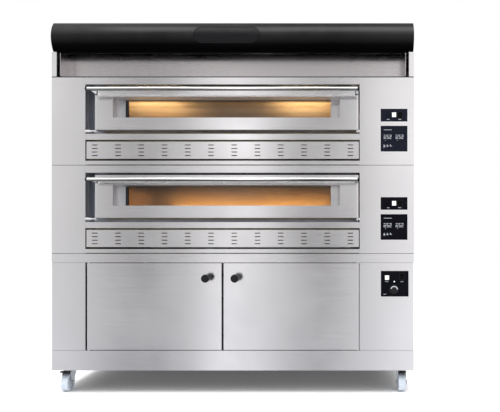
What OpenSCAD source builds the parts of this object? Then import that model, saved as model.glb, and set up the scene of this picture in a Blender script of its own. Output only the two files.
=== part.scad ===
// Two-deck electric baking oven, with a steam hood above the decks and a
// prover cupboard on braked castors below them.
// Frame: +Z is up, the front faces -Y and +X is the operator's right. The
// origin is on the floor, under the middle of the oven's outline.

/* [Body] */
// Width over the side panels
body_w = 1640; // [1600:10:1800]
// Depth from the front plane to the back panel
body_d = 1140; // [1120:10:1300]
// Thickness of the folded steel sheet
sheet = 2; // [1.5:0.5:2]
// Width of the left column, which holds insulation
left_column_w = 152; // [140:1:160]
// Width of the right column, which holds the controls
right_column_w = 245; // [235:1:260]

/* [Heights] */
// Height of the castors, from the floor to the cupboard
castor_h = 105; // [100:1:120]
// Height of the prover cupboard
prover_h = 530; // [500:5:600]
// Height of one oven deck
deck_h = 400; // [396:1:420]
// Height of the hood
hood_h = 250; // [240:1:300]
// Height of the flue spigot above the hood
flue_h = 50; // [52:1:80]

/* [Baking chamber] */
// Clear depth of a chamber
chamber_d = 860; // [820:10:880]
// Underside of the stone floor above the deck's base
stone_low = 156; // [154:1:158]
// Thickness of the stone floor
stone_t = 20; // [15:1:22]
// Chamber ceiling above the deck's base
ceiling_up = 346; // [344:1:348]
// Radius of a heating element tube
element_r = 5; // [4:0.5:6]

/* [Oven door] */
// Bottom edge of the door above the deck's base
door_low = 162; // [160:1:164]
// Top edge of the door above the deck's base
door_high = 356; // [350:1:358]
// Distance of the door's face behind the front plane
door_recess = 6; // [4:1:8]
// Height of the door's pivot above the deck's base
pivot_up = 157; // [155:1:158]
// Distance of the door's pivot behind the front plane
pivot_back = 15; // [14:1:17]
// Radius of a hinge pin
pin_r = 4; // [3:0.5:4]
// Radial play of a pin in its bore
pin_play = 0.05; // [0.02:0.01:0.1]
// Bottom edge of the window above the deck's base
window_low = 217; // [210:1:225]
// Top edge of the window above the deck's base
window_high = 311; // [300:1:315]
// Depth of the window recess behind the front plane
window_back = 72; // [66:1:74]
// Radius of the handle tube
handle_r = 9; // [8:0.5:11]
// Height of the handle above the deck's base
handle_up = 328; // [322:1:335]
// Distance from the front plane to the handle's axis
handle_out = 69; // [60:1:75]

/* [Vents] */
// Number of slot columns in a vent panel
vent_columns = 12; // [8:1:12]
// Number of slots in a column
vent_rows = 4; // [3:1:4]
// Length of one slot
slot_l = 26; // [20:1:30]
// Width of one slot
slot_w = 4; // [3:0.5:5]

/* [Prover] */
// Thickness of a prover door
leaf_t = 30; // [26:1:32]
// Gap round the prover doors
leaf_gap = 7; // [5:1:8]
// Number of tray levels
tray_levels = 4; // [3:1:5]
// Rise from one tray level to the next
tray_pitch = 85; // [60:5:90]

/* [Castors] */
// Radius of a castor wheel
wheel_r = 40; // [36:1:40]
// Width of a castor wheel
wheel_w = 32; // [28:1:34]
// Distance of the wheel's axle from the swivel axis
castor_trail = 30; // [25:1:32]
// Distance of the swivels from the middle plane
castor_x = 770; // [740:5:770]

/* [Hood] */
// Height of the curved canopy
canopy_h = 136; // [120:1:140]
// How far the canopy bulges forwards over its height
canopy_bulge = 28; // [22:1:32]
// Distance of the intake panel behind the front plane
intake_back = 80; // [70:1:90]
// Outer radius of the flue spigot
flue_r = 75; // [60:1:80]

/* [Hidden] */
$fn = 64;

steel = [0.74, 0.74, 0.75];
dark_steel = [0.35, 0.34, 0.33];
black = [0.07, 0.07, 0.08];
white = [0.92, 0.92, 0.92];
zinc = [0.62, 0.64, 0.66];

// Clear line between neighbouring sheets
seam = 0.3;

// Side planes
left = -body_w / 2;
right = body_w / 2;
column_l = left + left_column_w;
column_r = right - right_column_w;
mouth_mid = (column_l + column_r) / 2;

// Front plane, placed so that the outline from the handles to the cable
// glands is centred on the origin
gland_reach = 30;
handle_reach = handle_out + handle_r;
front = -(body_d + gland_reach - handle_reach) / 2;

// Levels
prover_z = castor_h;
lower_z = prover_z + prover_h;
upper_z = lower_z + deck_h;
hood_z = upper_z + deck_h;
top_z = hood_z + hood_h;

// Deck front, from the deck's base upwards
skirt_high = 20;
vent_low = 29;
vent_high = 107;
sill_low = 115;
sill_high = 142;
header_low = 366;
reveal_d = 35;

// Oven door
door_x = [column_l + 37, column_r - 2];
door_corner_r = 10;
door_skin_back = 56;
liner_face = 85;
window_x = [door_x[0] + 85, door_x[1] - 88];
lip_l = 48;
lip_r = 40;
ear_r = 9;
ear_t = 5;
ear_inset = 4;
handle_x = [door_x[0] + 10, door_x[1] - 12];
handle_bar_x = [door_x[0] - 5, door_x[1] - 6];

// Baking chamber
mouth_back = 95;
jamb_lap = 22;
chamber_x = [column_l + sheet, column_r - sheet];
chamber_y = [mouth_back, mouth_back + chamber_d];
hairpin_gap = 120;
hairpin_y = [for (i = [0:2]) mouth_back + 85 + 280 * i];
top_element_up = 332;
low_element_up = 146;
lamp_y = mouth_back + 165;
lamp_up = 270;

// Control column
plate_x = [column_r + 95, column_r + 216];
plate_t = 2;
display_up = [62, 178];
switch_up = [198, 255];
switch_mid = 227;
cap_x = column_r + 129;
button_x = column_r + 155;
rocker_x = column_r + 182;
button_size = [18, 20];
rocker_size = [19, 26];
rocker_tilt = 8;

// Prover
prover_plinth = 90;
prover_header = 41;
leaf_z = [prover_z + prover_plinth + 3, lower_z - prover_header - 3];
leaf_x_left = [column_l + leaf_gap, mouth_mid - leaf_gap / 2];
leaf_x_right = [mouth_mid + leaf_gap / 2, column_r - leaf_gap / 2];
leaf_pivot_in = 6;
leaf_pivot_back = 6;
leaf_block = 18;
leaf_bore_d = 11;
knob_z = leaf_z[1] - 65;
knob_from_gap = 65;
prover_plate_x = [column_r + 96, column_r + 221];
prover_plate_z = [leaf_z[0] + 242, leaf_z[0] + 358];
light_switch_at = [column_r + 123, leaf_z[0] + 328];
power_switch_at = [column_r + 191, leaf_z[0] + 333];
pilot_at = [column_r + 156, leaf_z[0] + 310];
dial_at = [column_r + 153, leaf_z[0] + 276];
dial_r = 22;
spindle_r = 3;
runner_y = [60, 860];
runner_t = 1.5;
runner_w = 18;

// Castors
castor_front_y = 80;
castor_rear_y = body_d - 80;
kingpin_r = 6;
axle_r = 5;
wheel_bore_r = axle_r + pin_play;
fork_gap = wheel_w + 4;
fork_t = 3;
pedal_pivot = [-36, 87];
pedal_pin_r = 2.5;

// Hood
canopy_r = (canopy_h * canopy_h / 4 + canopy_bulge * canopy_bulge) / (2 * canopy_bulge);
canopy_edge = 18;
canopy_lap = 3.2;
canopy_axis_y = canopy_edge - canopy_bulge + canopy_r;
canopy_axis_z = top_z - canopy_h / 2;
cheek_w = 22;
flue_y = body_d - 200;
badge_x = -27;
badge_size = [300, 76];
badge_up = 7;
badge_t = 2;

// Rear glands
gland_x = column_r + 130;
gland_bore_r = 7.5;
gland_neck_r = 12;
gland_up = [prover_z + 130, lower_z + 70, upper_z + 70];

// ---- Helpers: y is measured backwards from the front plane ----

// Box between two corners
module slab(x, y, z)
    translate([x[0], front + y[0], z[0]])
        cube([x[1] - x[0], y[1] - y[0], z[1] - z[0]]);

// Round bars along each axis
module rod_x(x, y, z, r)
    translate([x[0], front + y, z])
        rotate([0, 90, 0])
            cylinder(h = x[1] - x[0], r = r);

module rod_y(x, y, z, r)
    translate([x, front + y[0], z])
        rotate([-90, 0, 0])
            cylinder(h = y[1] - y[0], r = r);

module rod_z(x, y, z, r)
    translate([x, front + y, z[0]])
        cylinder(h = z[1] - z[0], r = r);

// Section in Y and Z carried along X
module along_x(x, y, z)
    translate([x[0], front + y, z])
        rotate([90, 0, 90])
            linear_extrude(height = x[1] - x[0])
                children();

// Outline in plan with rounded front corners
module front_rounded(x, y, r) {
    translate([x[0] + r, y[0]])
        square([x[1] - x[0] - 2 * r, y[1] - y[0]]);
    translate([x[0], y[0] + r])
        square([x[1] - x[0], y[1] - y[0] - r]);
    for (cx = [x[0] + r, x[1] - r])
        translate([cx, y[0] + r])
            circle(r = r);
}

// Block with rounded front corners
module rounded_slab(x, y, z, r)
    translate([0, front, z[0]])
        linear_extrude(height = z[1] - z[0])
            front_rounded(x, y, r);

// ---- Oven decks; z is the deck's base ----

module deck_casing(z) {
    inner_x = [left + sheet + seam, right - sheet - seam];
    side_y = [sheet + seam, body_d];
    // side, bottom and top panels
    slab([left, left + sheet], side_y, [z, z + deck_h]);
    slab([right - sheet, right], side_y, [z, z + deck_h]);
    slab(inner_x, side_y, [z, z + sheet]);
    slab(inner_x, side_y, [z + deck_h - sheet, z + deck_h]);
    // back panel with the cable entry
    difference() {
        slab(inner_x, [body_d - sheet, body_d], [z + sheet + seam, z + deck_h - sheet - seam]);
        rod_y(gland_x, [body_d - 10, body_d + 1], z + 70, gland_neck_r + 0.2);
    }
}

module deck_fascia(z) {
    face_z = [z + 1, z + deck_h - 1];
    reveal_z = [z + sheet + seam, z + deck_h - sheet - seam];
    // left column: face and the reveal beside the door
    slab([left, column_l], [0, sheet], face_z);
    slab([column_l - sheet, column_l], [sheet, reveal_d + sheet], reveal_z);
    // right column, open behind the display and the switches
    difference() {
        union() {
            slab([column_r, right], [0, sheet], face_z);
            slab([column_r, column_r + sheet], [sheet, reveal_d + sheet], reveal_z);
        }
        slab([plate_x[0] + 12, plate_x[1] - 12], [-1, sheet + 1],
            [z + display_up[0] + 10, z + display_up[1] - 10]);
        slab([button_x - 12, rocker_x + 12], [-1, sheet + 1],
            [z + switch_mid - 16, z + switch_mid + 16]);
    }
}

module deck_rail_set(z) {
    x = [column_l + seam, column_r - seam];
    // skirt under the vents
    slab(x, [0, sheet], [z + 1, z + skirt_high]);
    slab(x, [sheet, 20], [z + skirt_high - sheet, z + skirt_high]);
    // sill with its shelf under the door
    slab(x, [0, sheet], [z + sill_low, z + sill_high]);
    slab(x, [sheet, 20], [z + sill_low, z + sill_low + sheet]);
    slab(x, [sheet, mouth_back - seam], [z + sill_high - sheet, z + sill_high]);
    // header over the door
    slab(x, [0, sheet], [z + header_low, z + deck_h - 1]);
    slab(x, [sheet, 60], [z + header_low, z + header_low + sheet]);
}

// Vent slot outline, with round ends
module slot_outline() {
    square([slot_l - slot_w, slot_w], center = true);
    for (side = [-1, 1])
        translate([side * (slot_l - slot_w) / 2, 0])
            circle(d = slot_w);
}

module deck_vent_panel(z) {
    x = [column_l + 4, column_r - 4];
    face_y = 3;
    pitch_x = (x[1] - x[0] + 30) / vent_columns;
    pitch_z = 16;
    difference() {
        slab(x, [face_y, face_y + sheet], [z + vent_low, z + vent_high]);
        for (i = [0:vent_columns - 1], k = [0:vent_rows - 1])
            translate([
                mouth_mid + (i - (vent_columns - 1) / 2) * pitch_x,
                front,
                z + (vent_low + vent_high) / 2 + (k - (vent_rows - 1) / 2) * pitch_z
            ])
                rotate([-90, 0, 0])
                    linear_extrude(height = 10)
                        slot_outline();
    }
    for (edge = [vent_low, vent_high - sheet])
        slab(x, [face_y + sheet, face_y + 18], [z + edge, z + edge + sheet]);
}

// Passages of the element ends and the lamp through the chamber's right side
module chamber_passages(z, play) {
    x = [column_r - 10, column_r + 40];
    for (y = hairpin_y, leg = [0, hairpin_gap], up = [top_element_up, low_element_up])
        rod_x(x, y + leg, z + up, element_r + play);
    rod_x(x, lamp_y, z + lamp_up, 20 + play);
}

module deck_chamber(z) {
    floor_top = z + stone_low;
    ceiling = z + ceiling_up;
    inner_x = [chamber_x[0] + sheet + seam, chamber_x[1] - sheet - seam];
    // floor and ceiling sheets
    slab(inner_x, chamber_y, [floor_top - sheet, floor_top]);
    slab(inner_x, chamber_y, [ceiling, ceiling + sheet]);
    // left, right and back walls
    slab([chamber_x[0], chamber_x[0] + sheet], chamber_y, [floor_top - sheet, ceiling + sheet]);
    difference() {
        slab([chamber_x[1] - sheet, chamber_x[1]], chamber_y,
            [floor_top - sheet, ceiling + sheet]);
        chamber_passages(z, 0.5);
    }
    slab(inner_x, [chamber_y[1] + seam, chamber_y[1] + seam + sheet],
        [floor_top - sheet, ceiling + sheet]);
    // jambs and head of the mouth, behind the reveals
    jamb_y = [reveal_d + sheet + seam, mouth_back - seam];
    jamb_z = [z + sill_high + seam, z + header_low - seam];
    slab([column_l - sheet, column_l], jamb_y, jamb_z);
    slab([column_l - 1, door_x[0] + jamb_lap], [mouth_back - sheet - seam, mouth_back - seam],
        jamb_z);
    slab([column_r, column_r + sheet], jamb_y, jamb_z);
    slab([column_l, column_r], [mouth_back - sheet - seam, mouth_back - seam],
        [ceiling, z + header_low + 20]);
    slab([column_l, column_r], [mouth_back - sheet - seam, mouth_back - seam],
        [z + sill_high + seam, floor_top]);
}

module deck_insulation(z) {
    wool_z = [z + 6, z + deck_h - 6];
    // left column, right of the chamber, over, under and behind it
    slab([left + 5, column_l - 5], [20, body_d - 10], wool_z);
    difference() {
        slab([column_r + 3, column_r + 27], [mouth_back + 5, chamber_y[1]], wool_z);
        chamber_passages(z, 1);
    }
    slab(chamber_x, [mouth_back + 5, chamber_y[1]], [z + ceiling_up + 4, z + deck_h - 6]);
    slab(chamber_x, [mouth_back + 5, chamber_y[1]], [z + 60, z + low_element_up - 12]);
    slab(chamber_x, [chamber_y[1] + 5, body_d - 10], [z + 30, z + deck_h - 6]);
}

module deck_stones(z) {
    y = [chamber_y[0] + 2, chamber_y[1] - 2];
    stone_z = [z + stone_low + seam, z + stone_low + stone_t];
    slab([chamber_x[0] + 4, mouth_mid - 1], y, stone_z);
    slab([mouth_mid + 1, chamber_x[1] - 4], y, stone_z);
}

// One hairpin element: two legs, the bend at the left and ceramic end caps
module hairpin(y, z) {
    bend_r = hairpin_gap / 2;
    bend_x = chamber_x[0] + 20 + bend_r;
    for (leg = [0, hairpin_gap]) {
        rod_x([bend_x, column_r + 50], y + leg, z, element_r);
        rod_x([column_r + 30, column_r + 44], y + leg, z, element_r + 4);
    }
    translate([bend_x, front + y + bend_r, z])
        rotate([0, 0, 90])
            rotate_extrude(angle = 180)
                translate([bend_r, 0])
                    circle(r = element_r);
}

module deck_lamp(z) {
    // bulb glass, flange and lamp holder on one axis
    rod_x([column_r - 22, column_r - 12], lamp_y, z + lamp_up, 16);
    rod_x([column_r - 12, column_r - 5], lamp_y, z + lamp_up, 30);
    rod_x([column_r - 5, column_r + 60], lamp_y, z + lamp_up, 20);
}

// ---- Oven door parts ----

module door_skin(z) {
    low = z + door_low;
    high = z + door_high;
    window_z = [z + window_low, z + window_high];
    difference() {
        union() {
            // hollow shell with rounded front corners
            difference() {
                rounded_slab(door_x, [door_recess, door_skin_back], [low, high], door_corner_r);
                rounded_slab([door_x[0] + sheet, door_x[1] - sheet],
                    [door_recess + sheet, door_skin_back - sheet],
                    [low + sheet, high - sheet], door_corner_r - sheet);
                slab([door_x[0] + 26, door_x[1] - 28], [door_skin_back - 5, door_skin_back + 1],
                    [low + 24, high - 20]);
            }
            // walls of the window recess
            slab([window_x[0] - sheet, window_x[1] + sheet], [door_recess, window_back],
                [window_z[0] - sheet, window_z[1] + sheet]);
            // ears round the hinge pins
            for (x = [door_x[0] + ear_inset, door_x[1] - ear_inset - ear_t]) {
                rod_x([x, x + ear_t], pivot_back, z + pivot_up, ear_r);
                slab([x, x + ear_t], [pivot_back - ear_r, pivot_back + ear_r],
                    [z + pivot_up, low + 1]);
            }
        }
        slab(window_x, [door_recess - 1, window_back + 1], window_z);
        for (x = [door_x[0], door_x[1] - 10])
            rod_x([x - 1, x + 11], pivot_back, z + pivot_up, pin_r + pin_play);
    }
    // lips that hold the glass at both ends of the window
    lip_y = [window_back, window_back + sheet];
    lip_z = [window_z[0] - sheet, window_z[1] + sheet];
    slab([window_x[0] - sheet, window_x[0] + lip_l], lip_y, lip_z);
    slab([window_x[1] - lip_r, window_x[1] + sheet], lip_y, lip_z);
}

module door_liner(z) {
    x = [door_x[0] + 5, door_x[1] - 5];
    y = [door_skin_back + seam, liner_face];
    pan_z = [z + door_low + 3, z + ceiling_up];
    difference() {
        slab(x, y, pan_z);
        slab([x[0] + sheet, x[1] - sheet], [y[0] - 1, y[1] - sheet],
            [pan_z[0] + sheet, pan_z[1] - sheet]);
        slab([window_x[0] + lip_l - 2, window_x[1] - lip_r + 2], [y[0], y[1] + 1],
            [z + window_low, z + window_high]);
    }
}

module door_glass(z) {
    glass_y = window_back + sheet + seam;
    slab([window_x[0] + 26, window_x[1] - 18], [glass_y, glass_y + 4],
        [z + window_low - 11, z + window_high + 11]);
}

module door_handle(z) {
    up = z + handle_up;
    rod_x(handle_bar_x, -handle_out, up, handle_r);
    for (x = handle_x)
        slab([x - 4, x + 4], [-handle_out, door_recess], [up - 7, up + 7]);
}

// ---- Controls ----

// Cut-out for a push button or rocker of the given size
module switch_hole(x, z, size)
    slab([x - size[0] / 2 - 0.4, x + size[0] / 2 + 0.4], [-10, 10],
        [z - size[1] / 2 - 0.6, z + size[1] / 2 + 0.6]);

module deck_control_plates(z) {
    slab(plate_x, [-plate_t, 0], [z + display_up[0], z + display_up[1]]);
    difference() {
        slab(plate_x, [-plate_t, 0], [z + switch_up[0], z + switch_up[1]]);
        switch_hole(button_x, z + switch_mid, button_size);
        switch_hole(rocker_x, z + switch_mid, rocker_size);
    }
    // fuse holder cap
    rod_y(cap_x, [-plate_t - 7, -plate_t], z + switch_mid, 8);
}

// Push button: cap and stem
module push_button(x, z, size) {
    slab([x - size[0] / 2, x + size[0] / 2], [-7, 3], [z - size[1] / 2, z + size[1] / 2]);
    slab([x - 5, x + 5], [3, 26], [z - 5, z + 5]);
}

// Rocker cap with a shallow V face, tipped to its off side
module rocker(x, z) {
    half = rocker_size[1] / 2 - 0.2;
    along_x([x - rocker_size[0] / 2, x + rocker_size[0] / 2], 0, z)
        rotate(rocker_tilt)
            polygon([[-4.5, -half], [-3, 0], [-4.5, half], [6, half - 4], [6, 4 - half]]);
}

// Switch body with a pocket for the moving cap
module switch_body(x, z, size) {
    difference() {
        slab([x - size[0] / 2 - 1.5, x + size[0] / 2 + 1.5], [plate_t + 3, 34],
            [z - size[1] / 2 - 1, z + size[1] / 2 + 1]);
        slab([x - size[0] / 2 - 0.4, x + size[0] / 2 + 0.4], [0, 10],
            [z - size[1] / 2 - 0.6, z + size[1] / 2 + 0.6]);
        slab([x - 5.5, x + 5.5], [5, 30], [z - 5.5, z + 5.5]);
    }
}

module deck_control_gear(z) {
    switch_body(button_x, z + switch_mid, button_size);
    switch_body(rocker_x, z + switch_mid, [rocker_size[0], rocker_size[1]]);
    // temperature controller behind the display
    slab([plate_x[0] + 16, plate_x[1] - 16], [0, 62], [z + display_up[0] + 14, z + display_up[1] - 14]);
    // contactors and relays on a rail, and the terminal block at the cable entry
    rail_y = 520;
    slab([right - 12, right - 5], [rail_y, rail_y + 320], [z + 190, z + 225]);
    for (i = [0:2])
        slab([right - 82, right - 12 - seam], [rail_y + 10 + 100 * i, rail_y + 80 + 100 * i],
            [z + 165, z + 250]);
    slab([gland_x - 55, gland_x + 55], [body_d - 110, body_d - 70], [z + 45, z + 95]);
}

// ---- Prover ----

module prover_leaf(x, pivot_x) {
    block_x = pivot_x < mouth_mid
        ? [x[0] + 0.5, x[0] + leaf_block]
        : [x[1] - leaf_block, x[1] - 0.5];
    difference() {
        union() {
            // front pan
            difference() {
                rounded_slab(x, [0, leaf_t - 3], leaf_z, 3);
                rounded_slab([x[0] + sheet, x[1] - sheet], [sheet, leaf_t],
                    [leaf_z[0] + sheet, leaf_z[1] - sheet], 1);
            }
            // hinge blocks in the outer corners
            for (low = [leaf_z[0], leaf_z[1] - leaf_block])
                slab(block_x, [1, leaf_t - 4], [low, low + leaf_block]);
        }
        rod_z(pivot_x, leaf_pivot_back, [leaf_z[0] - 1, leaf_z[0] + leaf_bore_d],
            pin_r + pin_play);
        rod_z(pivot_x, leaf_pivot_back, [leaf_z[1] - leaf_bore_d, leaf_z[1] + 1],
            pin_r + pin_play);
    }
    // back sheet
    slab([x[0] + 3, x[1] - 3], [leaf_t - 3 + seam, leaf_t], [leaf_z[0] + 3, leaf_z[1] - 3]);
}

// Half section of the pull knob, from the door outwards
module knob_section() {
    head_r = 18;
    head_h = 22;
    soft = 5;
    square([12, 4]);
    square([6, 50]);
    translate([0, 48]) {
        square([head_r - soft, head_h]);
        translate([0, soft])
            square([head_r, head_h - 2 * soft]);
        for (y = [soft, head_h - soft])
            translate([head_r - soft, y])
                circle(r = soft);
    }
}

module pull_knob(x)
    translate([x, front, knob_z])
        rotate([90, 0, 0])
            rotate_extrude()
                intersection() {
                    knob_section();
                    square([30, 80]);
                }

// ---- Castors; side is -1 or 1, trail is where the wheel lies ----

module castor_plate(x, y) {
    slab([x - 40, x + 40], [y - 40, y + 40], [castor_h - 4, castor_h]);
    rod_z(x, y, [castor_h - 9, castor_h - 4], 22);
    rod_z(x, y, [castor_h - 21, castor_h - 9], kingpin_r);
    rod_z(x, y, [castor_h - 21, castor_h - 17], 10);
    for (bx = [-30, 30], by = [-30, 30])
        rod_z(x + bx, y + by, [castor_h - 9, castor_h - 4], 6, $fn = 6);
}

module castor_fork(x, y, trail, braked) {
    axle_y = y + trail;
    toe = braked ? -44 : min(trail * 0.6, -18);
    heel = braked ? 18 : max(trail * 0.6, 18);
    plate_low = castor_h - 16;
    difference() {
        union() {
            rod_z(x, y, [plate_low, castor_h - 9.3], 23);
            slab([x - fork_gap / 2 - fork_t, x + fork_gap / 2 + fork_t], [y - 20, y + 20],
                [plate_low, plate_low + 3]);
            for (leg_x = [x - fork_gap / 2 - fork_t, x + fork_gap / 2])
                along_x([leg_x, leg_x + fork_t], y, 0) {
                    polygon([
                        [toe, plate_low + 3], [heel, plate_low + 3],
                        [trail + 12, wheel_r], [trail - 12, wheel_r]
                    ]);
                    translate([trail, wheel_r])
                        circle(r = 12);
                }
            rod_x([x - fork_gap / 2 - 8, x + fork_gap / 2 + 8], axle_y, wheel_r, axle_r);
            for (side = [-1, 1])
                rod_x([x + side * (fork_gap / 2 + 5.5) - 2.5, x + side * (fork_gap / 2 + 5.5) + 2.5],
                    axle_y, wheel_r, 8, $fn = 6);
        }
        rod_z(x, y, [plate_low - 1, castor_h], kingpin_r + pin_play);
        if (braked)
            rod_x([x - 40, x + 40], y + pedal_pivot[0], pedal_pivot[1],
                pedal_pin_r + pin_play);
    }
}

module castor_wheel(x, y) {
    soft = 5;
    half = wheel_w / 2;
    translate([x, front + y, wheel_r])
        rotate([0, 90, 0])
            rotate_extrude()
                difference() {
                    union() {
                        translate([wheel_bore_r, -half - 1])
                            square([14 - wheel_bore_r, wheel_w + 2]);
                        translate([wheel_bore_r, -half])
                            square([wheel_r - soft - wheel_bore_r, wheel_w]);
                        translate([wheel_bore_r, soft - half])
                            square([wheel_r - wheel_bore_r, wheel_w - 2 * soft]);
                        for (edge = [-1, 1])
                            translate([wheel_r - soft, edge * (half - soft)])
                                circle(r = soft);
                    }
                    for (edge = [-1, 1])
                        translate([22, edge * half])
                            square([10, 8], center = true);
                }
}

module brake_pedal(x) {
    y = castor_front_y + pedal_pivot[0];
    z = pedal_pivot[1];
    rod_x([x - fork_gap / 2 - fork_t + 0.5, x + fork_gap / 2 + fork_t - 0.5], y, z, pedal_pin_r);
    // cam over the tread and the foot plate in front of it
    rod_x([x - 15, x + 15], y, z, 5);
    along_x([x - 15, x + 15], y, z)
        polygon([[0, 4], [-30, 12], [-42, 12], [-42, 7], [-30, 6], [0, -4]]);
}

// ---- Nodes: hood ----

// Front part of a disc or ring about the canopy's axis, as a section in Y and Z
module canopy_section(outer, inner, back)
    intersection() {
        difference() {
            circle(r = outer);
            if (inner > 0)
                circle(r = inner);
        }
        translate([-outer - 1, -canopy_h / 2])
            square([outer + 1 - canopy_axis_y + canopy_edge + back, canopy_h]);
    }

module hood_canopy()
    color(black) {
        $fn = 128;
        along_x([left + sheet + seam, right - sheet - seam], canopy_axis_y, canopy_axis_z)
            canopy_section(canopy_r, canopy_r - sheet, 5);
        // end plates
        for (x = [left, right - sheet])
            along_x([x, x + sheet], canopy_axis_y, canopy_axis_z)
                canopy_section(canopy_r, 0, canopy_lap - seam);
    }

module hood_housing()
    color(steel) {
        inner_x = [left + sheet + seam, right - sheet - seam];
        roof_z = [top_z - sheet, top_z];
        canopy_low = top_z - canopy_h;
        // sides, stepped round the canopy
        for (x = [left, right - sheet]) {
            slab([x, x + sheet], [sheet + seam, body_d], [hood_z, canopy_low - seam]);
            slab([x, x + sheet], [canopy_edge + canopy_lap, body_d], [canopy_low - 1, top_z]);
        }
        slab(inner_x, [body_d - sheet, body_d], [hood_z + sheet + seam, roof_z[0] - seam]);
        slab(inner_x, [sheet + seam, body_d], [hood_z, hood_z + sheet]);
        difference() {
            slab(inner_x, [canopy_edge + canopy_lap, body_d], roof_z);
            rod_z(0, flue_y, [roof_z[0] - 1, roof_z[1] + 1], flue_r - sheet);
        }
        // front cheeks under the canopy
        for (x = [left, right - cheek_w])
            slab([x, x + cheek_w], [0, sheet], [hood_z + 1, canopy_low - 1]);
    }

module hood_intake_panel()
    color(steel) {
        x = [left + cheek_w + 13, right - cheek_w - 13];
        panel_z = [hood_z + 7, top_z - canopy_h + 12];
        slab(x, [intake_back, intake_back + sheet], panel_z);
        slab(x, [intake_back + sheet, intake_back + 22], [panel_z[1] - sheet, panel_z[1]]);
        slab(x, [intake_back + sheet, intake_back + 22], [panel_z[0], panel_z[0] + sheet]);
        // returns that run forward at both ends
        for (edge = [x[0], x[1] - sheet])
            slab([edge, edge + sheet], [6, intake_back - seam],
                [panel_z[0], top_z - canopy_h - 3]);
    }

module hood_badge()
    color(black) {
        $fn = 128;
        end_r = badge_size[1] / 2;
        intersection() {
            along_x([badge_x - badge_size[0] / 2, badge_x + badge_size[0] / 2],
                canopy_axis_y, canopy_axis_z)
                canopy_section(canopy_r + seam + badge_t, canopy_r + seam, 5);
            translate([badge_x, front - 60, canopy_axis_z + badge_up])
                rotate([-90, 0, 0])
                    linear_extrude(height = 100) {
                        square([badge_size[0] - 2 * end_r, badge_size[1]], center = true);
                        for (side = [-1, 1])
                            translate([side * (badge_size[0] / 2 - end_r), 0])
                                circle(r = end_r);
                    }
        }
    }

module hood_flue_spigot()
    color(steel)
        difference() {
            union() {
                rod_z(0, flue_y, [top_z, top_z + 3], flue_r + 18);
                rod_z(0, flue_y, [top_z, top_z + flue_h], flue_r);
            }
            rod_z(0, flue_y, [top_z - 1, top_z + flue_h + 1], flue_r - sheet);
        }

// ---- Nodes: upper deck ----

module upper_casing() color(steel) deck_casing(upper_z);
module upper_fascia() color(steel) deck_fascia(upper_z);
module upper_vent_panel() color(steel) deck_vent_panel(upper_z);
module upper_chamber() color(dark_steel) deck_chamber(upper_z);
module upper_door_skin() color(steel) door_skin(upper_z);
module upper_door_liner() color(dark_steel) door_liner(upper_z);
module upper_door_glass() color([0.85, 0.62, 0.35, 0.4]) door_glass(upper_z);
module upper_handle() color(steel) door_handle(upper_z);
module upper_control_plates() color([0.09, 0.11, 0.2]) deck_control_plates(upper_z);
module upper_light_button() color(white) push_button(button_x, upper_z + switch_mid, button_size);
module upper_power_rocker() color(black) rocker(rocker_x, upper_z + switch_mid);

// ---- Nodes: lower deck ----

module lower_casing() color(steel) deck_casing(lower_z);
module lower_fascia() color(steel) deck_fascia(lower_z);
module lower_vent_panel() color(steel) deck_vent_panel(lower_z);
module lower_chamber() color(dark_steel) deck_chamber(lower_z);
module lower_door_skin() color(steel) door_skin(lower_z);
module lower_door_liner() color(dark_steel) door_liner(lower_z);
module lower_door_glass() color([0.75, 0.45, 0.2, 0.4]) door_glass(lower_z);
module lower_handle() color(steel) door_handle(lower_z);
module lower_control_plates() color(black) deck_control_plates(lower_z);
module lower_light_button() color(white) push_button(button_x, lower_z + switch_mid, button_size);
module lower_power_rocker() color(black) rocker(rocker_x, lower_z + switch_mid);

// ---- Nodes: groups that both decks share ----

module deck_rails()
    color(steel)
        for (z = [lower_z, upper_z])
            deck_rail_set(z);

module insulation_blocks()
    color([0.85, 0.82, 0.6])
        for (z = [lower_z, upper_z])
            deck_insulation(z);

module stone_floors()
    color([0.66, 0.6, 0.52])
        for (z = [lower_z, upper_z])
            deck_stones(z);

module heating_elements()
    color([0.3, 0.28, 0.27])
        for (z = [lower_z, upper_z], y = hairpin_y, up = [top_element_up, low_element_up])
            hairpin(y, z + up);

module chamber_lamps()
    color([0.95, 0.9, 0.75])
        for (z = [lower_z, upper_z])
            deck_lamp(z);

module hinge_pins()
    color(zinc) {
        // oven doors: pins with a collar on each reveal
        for (z = [lower_z, upper_z]) {
            rod_x([column_l, door_x[0] + 14], pivot_back, z + pivot_up, pin_r);
            rod_x([column_l, column_l + 20], pivot_back, z + pivot_up, pin_r + 3);
            rod_x([door_x[1] - 14, column_r], pivot_back, z + pivot_up, pin_r);
            rod_x([door_x[1] + 0.5, column_r], pivot_back, z + pivot_up, pin_r + 3);
        }
        // prover doors: pins in the plinth and the header
        for (x = [leaf_x_left[0] + leaf_pivot_in, leaf_x_right[1] - leaf_pivot_in]) {
            rod_z(x, leaf_pivot_back, [leaf_z[0] - 3, leaf_z[0] + leaf_bore_d - 3], pin_r);
            rod_z(x, leaf_pivot_back, [leaf_z[1] - leaf_bore_d + 3, leaf_z[1] + 3], pin_r);
        }
    }

module control_gear()
    color([0.2, 0.22, 0.25]) {
        for (z = [lower_z, upper_z])
            deck_control_gear(z);
        switch_body(light_switch_at[0], light_switch_at[1], button_size);
        switch_body(power_switch_at[0], power_switch_at[1], rocker_size);
        // prover thermostat with the bush for its spindle
        difference() {
            slab([dial_at[0] - 25, dial_at[0] + 25], [plate_t + 3, 50],
                [dial_at[1] - 22, dial_at[1] + 20]);
            rod_y(dial_at[0], [0, 30], dial_at[1], spindle_r + pin_play);
        }
        slab([gland_x - 55, gland_x + 55], [body_d - 110, body_d - 70],
            [gland_up[0] - 25, gland_up[0] + 25]);
    }

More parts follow.
